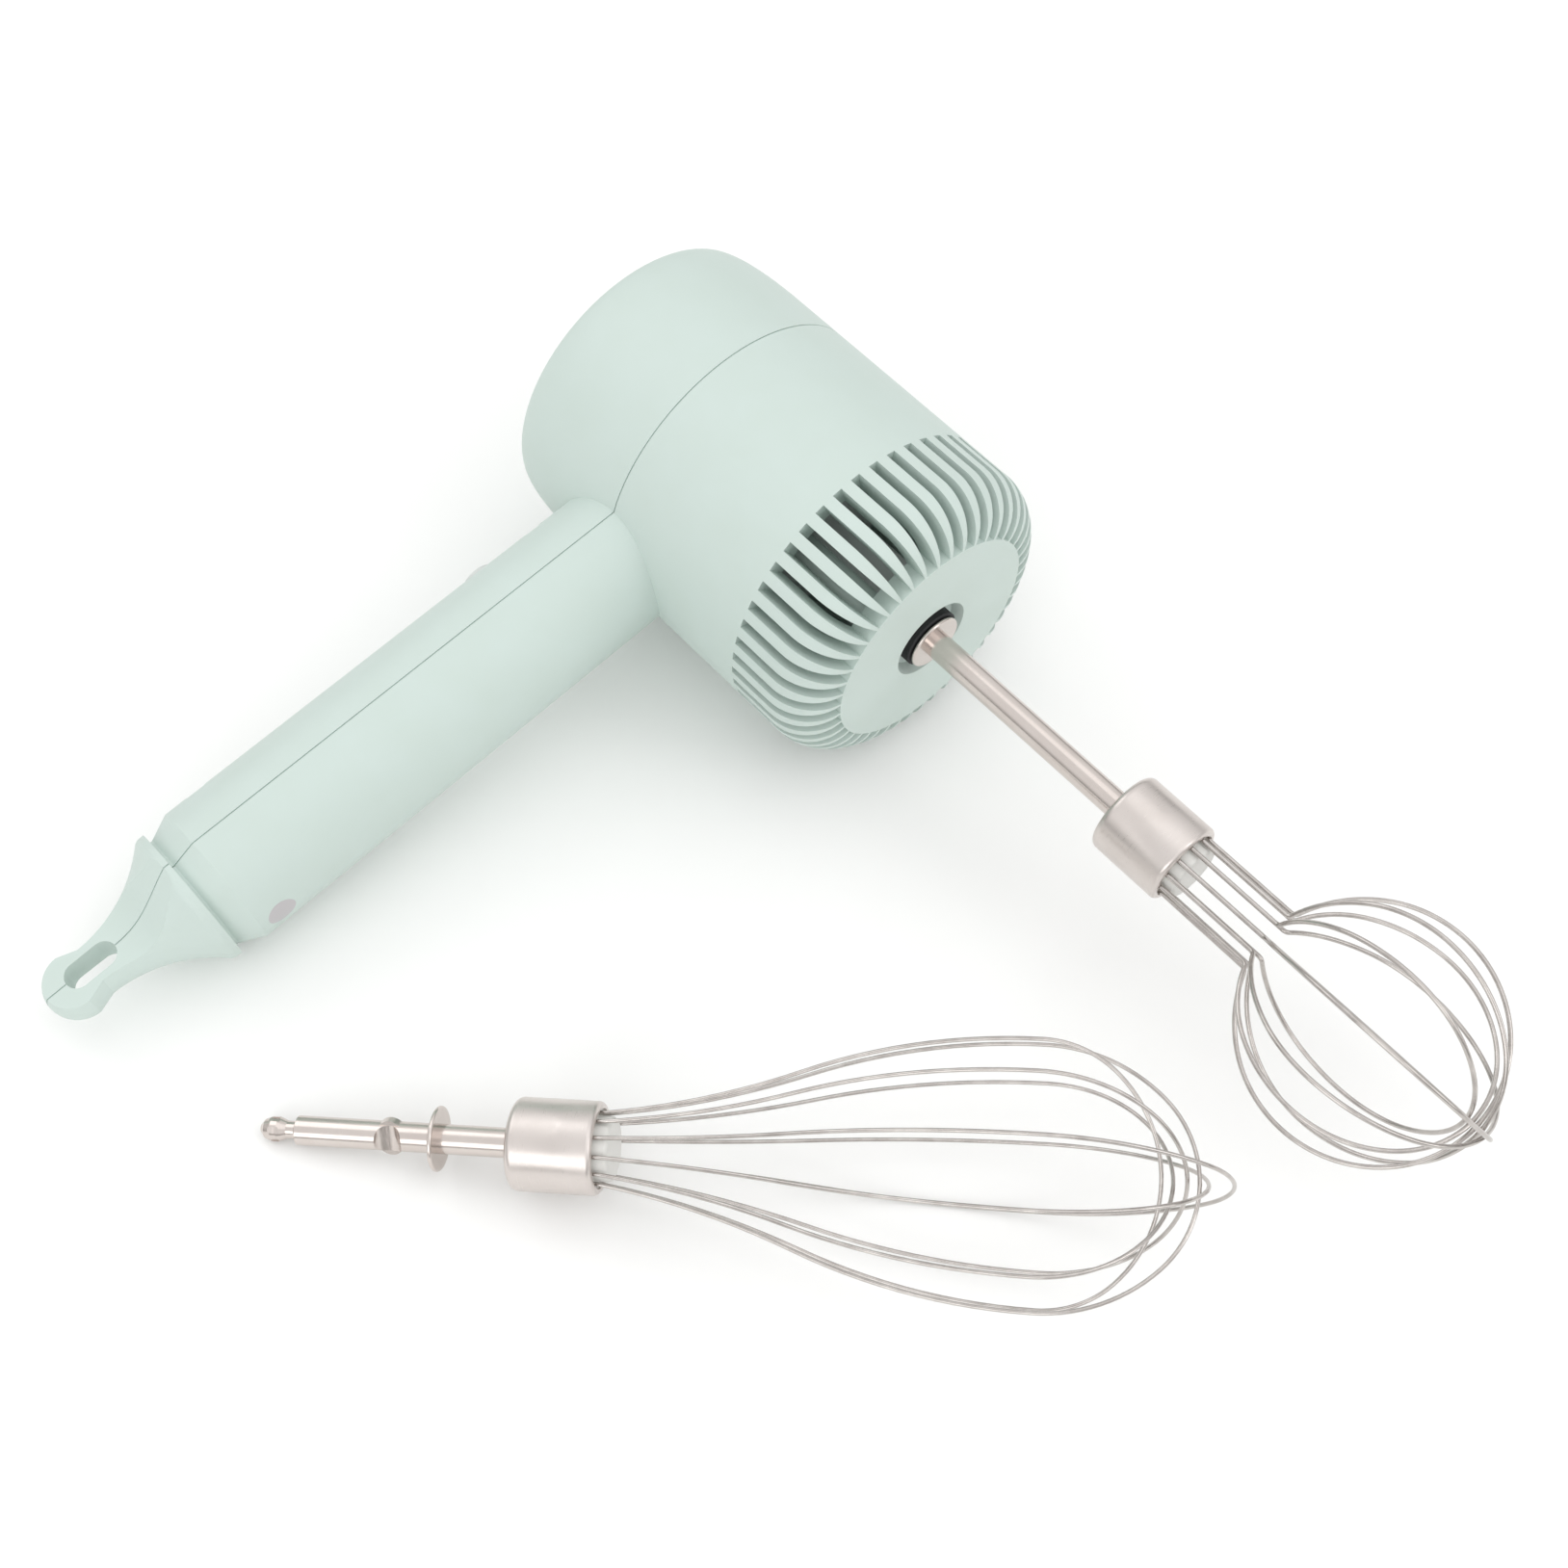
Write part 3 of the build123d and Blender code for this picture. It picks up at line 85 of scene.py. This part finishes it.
def wear_in(
    material, shader, grain, depth, tones, rough, stretch=(1, 1, 1), turn=(0, 0, 0), drift=9.0
):
    """Gives a surface its grain, a slow drift between two tones and an uneven gloss.

    grain is the size of the finest marks and drift the size of the tone's patches, in
    millimetres; depth is how deep the marks go, in millimetres; stretch draws the marks out
    along each axis, for brushed and drawn surfaces, and turn is how those axes lie.
    """
    link = material.node_tree.links.new
    spot = add(material, "ShaderNodeTexCoord", {}, {}).outputs["Object"]
    drawn_out = add(
        material,
        "ShaderNodeMapping",
        {"vector_type": "TEXTURE"},
        {"Vector": spot, "Rotation": turn, "Scale": stretch},
    ).outputs["Vector"]
    marks = add(
        material,
        "ShaderNodeTexNoise",
        {},
        {"Vector": drawn_out, "Scale": per(grain), "Detail": 3.0, "Roughness": 0.6},
    ).outputs["Fac"]
    patches = add(
        material,
        "ShaderNodeTexNoise",
        {},
        {"Vector": spot, "Scale": per(drift), "Detail": 2.0},
    ).outputs["Fac"]
    tone = add(
        material,
        "ShaderNodeMix",
        {"data_type": "RGBA"},
        {"Factor": patches, 6: linear(tones[0]), 7: linear(tones[1])},
    ).outputs[2]
    gloss = add(
        material,
        "ShaderNodeMapRange",
        {},
        {"Value": marks, "From Min": 0.3, "From Max": 0.7, "To Min": rough[0], "To Max": rough[1]},
    ).outputs["Result"]
    relief = add(
        material,
        "ShaderNodeBump",
        {},
        {"Height": marks, "Strength": 1.0, "Distance": depth * MM},
    ).outputs["Normal"]
    link(tone, shader.inputs["Base Color"])
    link(gloss, shader.inputs["Roughness"])
    link(relief, shader.inputs["Normal"])
    return material


# ---------------------------------------------------------------- plastics
def moulded_abs():
    # ABS from a spark-eroded mould: an even satin skin, matt up close, pale mint all through.
    # The mould's 0.1 mm texture is drawn at 0.35 mm so that it shows.
    material, shader = start("mint_moulded_abs", IOR=1.53, Specular_IOR_Level=0.42)
    return wear_in(material, shader, 0.35, 0.008, ("#C6D4CD", "#CAD8D3"), (0.44, 0.54))


def moulded_nylon():
    # Glass-filled nylon, as moulded: dull pale grey with a faint fibrous mottle.
    material, shader = start("grey_moulded_nylon", IOR=1.53)
    return wear_in(material, shader, 0.5, 0.01, ("#A4ADA9", "#B0B8B4"), (0.5, 0.65))


def moulded_acetal():
    # Acetal gears, injection moulded: creamy white with a waxy gloss.
    material, shader = start("white_moulded_acetal", IOR=1.48)
    return wear_in(material, shader, 0.6, 0.004, ("#E9E6DC", "#F2F0E8"), (0.28, 0.4))


def whisk_filling():
    # Polypropylene moulded into the whisk's cup: off-white and slightly waxy, with a soft mottle.
    material, shader = start("white_moulded_polypropylene", IOR=1.49)
    return wear_in(material, shader, 0.5, 0.008, ("#D9D8D4", "#E6E5E1"), (0.35, 0.5))


def button_plastic():
    # ABS button in a light grey: a smoother skin than the casing, so a little shinier.
    material, shader = start("pale_grey_moulded_abs", IOR=1.53)
    return wear_in(material, shader, 0.3, 0.004, ("#D2D5D3", "#DADDDB"), (0.3, 0.4))


def window_plastic():
    # Frosted polycarbonate over the charging light: cloudy grey, soft gloss.
    material, shader = start("frosted_grey_polycarbonate", IOR=1.58)
    return wear_in(material, shader, 0.25, 0.003, ("#B9B6B8", "#C2BFC1"), (0.3, 0.42))


def light_pipe_plastic():
    # Clear polycarbonate light pipes: glassy, with a trace of blue.
    material, shader = start("clear_polycarbonate", IOR=1.58, Transmission_Weight=0.6)
    return wear_in(material, shader, 0.4, 0.002, ("#E3EAEA", "#EDF2F2"), (0.1, 0.2))


def seal_rubber():
    # Silicone rubber, moulded: soft black without a hard shine.
    material, shader = start("black_moulded_silicone", IOR=1.43)
    return wear_in(material, shader, 0.3, 0.006, ("#1B1C1D", "#252627"), (0.55, 0.7))


def lead_covering():
    # PVC drawn over copper strands: smooth red skin.
    material, shader = start("red_drawn_pvc", IOR=1.53)
    return wear_in(material, shader, 0.4, 0.003, ("#9E2A24", "#B0322B"), (0.3, 0.42))


def cell_sleeve():
    # Heat-shrunk PET sleeve on the cell: glossy blue-green film with slow ripples.
    material, shader = start("shrunk_pet_sleeve", IOR=1.57)
    return wear_in(material, shader, 3.0, 0.05, ("#2F6F8C", "#36789A"), (0.18, 0.28))


# ---------------------------------------------------------------- electrics
def board_laminate():
    # Glass-epoxy board under solder resist: glossy green over a faint weave.
    material, shader = start("green_solder_resist", IOR=1.55)
    return wear_in(material, shader, 0.45, 0.01, ("#1F5B3A", "#27683F"), (0.25, 0.4))


def chip_resin():
    # Filled epoxy round the chips: dead matt black.
    material, shader = start("black_moulded_epoxy", IOR=1.55)
    return wear_in(material, shader, 0.2, 0.006, ("#202124", "#2A2B2E"), (0.55, 0.7))


def led_lens():
    # White LED with its phosphor: milky and slightly yellow.
    material, shader = start("milky_led_resin", IOR=1.5)
    return wear_in(material, shader, 0.3, 0.003, ("#F1EED8", "#F8F5E4"), (0.2, 0.3))


def brush_carbon():
    # Pressed carbon: dark, granular, faintly metallic.
    material, shader = start("pressed_carbon", IOR=1.8)
    return wear_in(material, shader, 0.2, 0.01, ("#2A2A2C", "#3A3A3C"), (0.5, 0.65))


def ferrite():
    # Sintered ferrite magnets: charcoal grey, ground smooth in one direction.
    material, shader = start("ground_ferrite", IOR=2.2)
    return wear_in(material, shader, 0.3, 0.006, ("#3A3C3F", "#46484B"), (0.4, 0.55), (5, 1, 1))


# ---------------------------------------------------------------- metals
def polished_wire():
    # Stainless wire, drawn and electropolished: bright, with faint marks along its length.
    # Drawing marks of 0.05 mm are drawn at 0.3 mm so that they show.
    material, shader = start("drawn_stainless_wire", Metallic=1.0)
    return wear_in(
        material, shader, 0.3, 0.002, ("#A19B97", "#D8D3CF"), (0.14, 0.28), drift=4.0
    )


def polished_shank(turn):
    # Stainless rod, centreless ground and buffed: bright with fine rings round it.
    # Grinding rings of 0.02 mm are drawn at 0.15 mm so that they show.
    material, shader = start("buffed_stainless_rod", Metallic=1.0)
    return wear_in(
        material, shader, 0.15, 0.0006, ("#CDC3BD", "#DBD3CE"), (0.13, 0.27), (1, 12, 12), turn
    )


def satin_cup(turn):
    # Stainless cup, spun against abrasive: satin, its fine lines running round the cup.
    # Scratches of 0.03 mm are drawn at 0.12 mm so that they show.
    material, shader = start("satin_spun_stainless", Metallic=1.0, Anisotropic=0.5)
    return wear_in(
        material, shader, 0.12, 0.0015, ("#CFC7C2", "#DDD6D2"), (0.26, 0.42), (1, 25, 25), turn
    )


def nickel_plate():
    # Bright nickel on pressed strip: slightly yellow, mirror-like with a soft haze.
    material, shader = start("bright_nickel_plate", Metallic=1.0)
    return wear_in(material, shader, 0.4, 0.002, ("#C9C2B4", "#D4CEC0"), (0.15, 0.25))


def zinc_plate():
    # Zinc-plated steel screws: blue-white and a little cloudy.
    material, shader = start("zinc_plated_screw", Metallic=1.0)
    return wear_in(material, shader, 0.3, 0.004, ("#AEB4BA", "#C2C7CB"), (0.28, 0.42))


def motor_can_steel():
    # Drawn steel can, galvanised: pale grey with a faint crystalline patchwork.
    material, shader = start("galvanised_drawn_steel", Metallic=1.0)
    return wear_in(material, shader, 0.8, 0.004, ("#A3A7AA", "#B8BBBD"), (0.3, 0.45), drift=3.0)


def core_lamination():
    # Stacked silicon-steel stampings: dark grey, their edges in lines 0.5 mm apart.
    material, shader = start("stacked_silicon_steel", Metallic=1.0)
    return wear_in(material, shader, 0.5, 0.02, ("#6E7073", "#7E8083"), (0.4, 0.55), (1, 20, 20))


def winding_copper():
    # Enamelled copper wire: warm brown-orange with the lines of its turns.
    material, shader = start("enamelled_copper_wire", Metallic=1.0, Coat_Weight=0.5)
    return wear_in(material, shader, 0.4, 0.03, ("#A8582F", "#BF6A3A"), (0.25, 0.4), (3, 1, 1))


def bush_bronze():
    # Oil-filled sintered bronze: dull gold-brown, finely pored.
    material, shader = start("sintered_bronze", Metallic=1.0)
    return wear_in(material, shader, 0.3, 0.01, ("#8C6B3E", "#9C7A4B"), (0.4, 0.55))


casing = moulded_abs()
wire = polished_wire()
ball_turn = aim("ball_whisk_stop_ring", "ball_whisk_collar")
balloon_turn = aim("balloon_whisk_stop_ring", "balloon_whisk_collar")
rod = polished_shank(ball_turn)
loose_rod = polished_shank(balloon_turn)
filling = whisk_filling()
gear_plastic = moulded_acetal()
frame_plastic = moulded_nylon()
can_steel = motor_can_steel()
screw_steel = zinc_plate()
strip = nickel_plate()
rubber = seal_rubber()
resin = chip_resin()
bronze = bush_bronze()
copper = winding_copper()

finishes = {
    "front_shell": casing,
    "rear_shell": casing,
    "screw_plugs": casing,
    "socket_seal": rubber,
    "charge_light_window": window_plastic(),
    "speed_light_pipes": light_pipe_plastic(),
    "indicator_leds": led_lens(),
    "control_board": board_laminate(),
    "board_components": resin,
    "button_switch": resin,
    "power_button": button_plastic(),
    "charge_port": strip,
    "shell_screws": screw_steel,
    "gearbox_screws": screw_steel,
    "battery_cell": cell_sleeve(),
    "cell_tabs": strip,
    "internal_leads": lead_covering(),
    "motor_can": can_steel,
    "motor_end_cap": frame_plastic,
    "motor_magnets": ferrite(),
    "motor_bushes": bronze,
    "spindle_bushes": bronze,
    "motor_brush_gear": brush_carbon(),
    "motor_damper": rubber,
    "motor_shaft": rod,
    "armature_core": core_lamination(),
    "armature_windings": copper,
    "commutator": copper,
    "sun_pinion": can_steel,
    "ring_gear": frame_plastic,
    "gearbox_case": frame_plastic,
    "gearbox_cover": frame_plastic,
    "planet_carrier": frame_plastic,
    "planet_pins": rod,
    "output_spindle": rod,
    "grip_ring": rubber,
    "spindle_clip": can_steel,
    "ball_whisk_shank": rod,
    "ball_whisk_stop_ring": rod,
    "ball_whisk_collar": satin_cup(ball_turn),
    "balloon_whisk_shank": loose_rod,
    "balloon_whisk_stop_ring": loose_rod,
    "balloon_whisk_collar": satin_cup(balloon_turn),
    "plug": filling,
    "loop": wire,
    "planet_gear": gear_plastic,
}

for name, node in nodes.items():
    # Loops, plugs and planets share a finish by the name left without whisk and number.
    plain = name.replace("ball_whisk_", "").replace("balloon_whisk_", "").rstrip("_0123456789")
    finish = finishes.get(name) or finishes[plain]
    for index in range(len(node.material_slots)):
        node.material_slots[index].material = finish
    if not node.material_slots:
        node.data.materials.append(finish)

# ---------------------------------------------------------------- table, light and camera
low, high = Vector(cad_box[0]), Vector(cad_box[1])
middle = (low + high) / 2
table_size = 20.0
table_gap = 0.05 * MM  # keeps the table's face off the casing's lowest point

# White matt laminate.
table_top, _ = start("white_table", Base_Color=linear("#FAFAF9"), Roughness=0.6)
bpy.ops.mesh.primitive_plane_add(
    size=table_size, location=(middle.x, middle.y, low.z - table_gap)
)
table = bpy.context.object
table.name = "table"
table.data.materials.append(table_top)

world = bpy.data.worlds.new("studio")
bpy.context.scene.world = world
world.use_nodes = True
# White room with a greyer band low on its walls, which gives bright metal its darker edges.
height = add(
    world,
    "ShaderNodeSeparateXYZ",
    {},
    {"Vector": add(world, "ShaderNodeTexCoord", {}, {}).outputs["Generated"]},
).outputs["Z"]
walls = add(
    world,
    "ShaderNodeMapRange",
    {"interpolation_type": "SMOOTHSTEP"},
    {"Value": height, "From Min": 0.0, "From Max": 0.55, "To Min": 0.0, "To Max": 1.0},
).outputs["Result"]
room = add(
    world,
    "ShaderNodeMix",
    {"data_type": "RGBA"},
    {"Factor": walls, 6: linear("#ACACAA"), 7: linear("#FFFFFF")},
).outputs[2]
sky = world.node_tree.nodes["Background"]
world.node_tree.links.new(room, sky.inputs["Color"])
sky.inputs["Strength"].default_value = 0.97


def softbox(name, spot, size, power):
    """Diffused lamp that faces the mixer: spot and size in metres, power in watts."""
    data = bpy.data.lights.new(name, "AREA")
    data.shape = "RECTANGLE"
    data.size, data.size_y = size
    data.energy = power
    lamp = bpy.data.objects.new(name, data)
    bpy.context.scene.collection.objects.link(lamp)
    lamp.location = middle + Vector(spot)
    lamp.rotation_euler = (-Vector(spot)).to_track_quat("-Z", "Y").to_euler()


softbox("overhead_softbox", (0.1, 0.25, 1.1), (1.1, 0.9), 1.3)
softbox("left_softbox", (-1.0, -0.1, 0.8), (0.7, 0.9), 1.6)
softbox("front_softbox", (0.45, -1.0, 0.5), (0.9, 0.6), 2.5)
softbox("right_strip", (0.9, 0.5, 0.6), (0.3, 1.0), 1.6)

camera_data = bpy.data.cameras.new("camera")
camera_data.sensor_width = 36.0
camera_data.lens = 50.5038
camera_data.clip_start = 0.01
camera = bpy.data.objects.new("camera", camera_data)
bpy.context.scene.collection.objects.link(camera)
camera.location = Vector((221.071, -205.379, 403.227)) * MM
camera.rotation_euler = Euler((radians(31.0386), radians(-2.1644), radians(47.7443)))
bpy.context.scene.camera = camera
bpy.context.scene.view_settings.view_transform = "Standard"
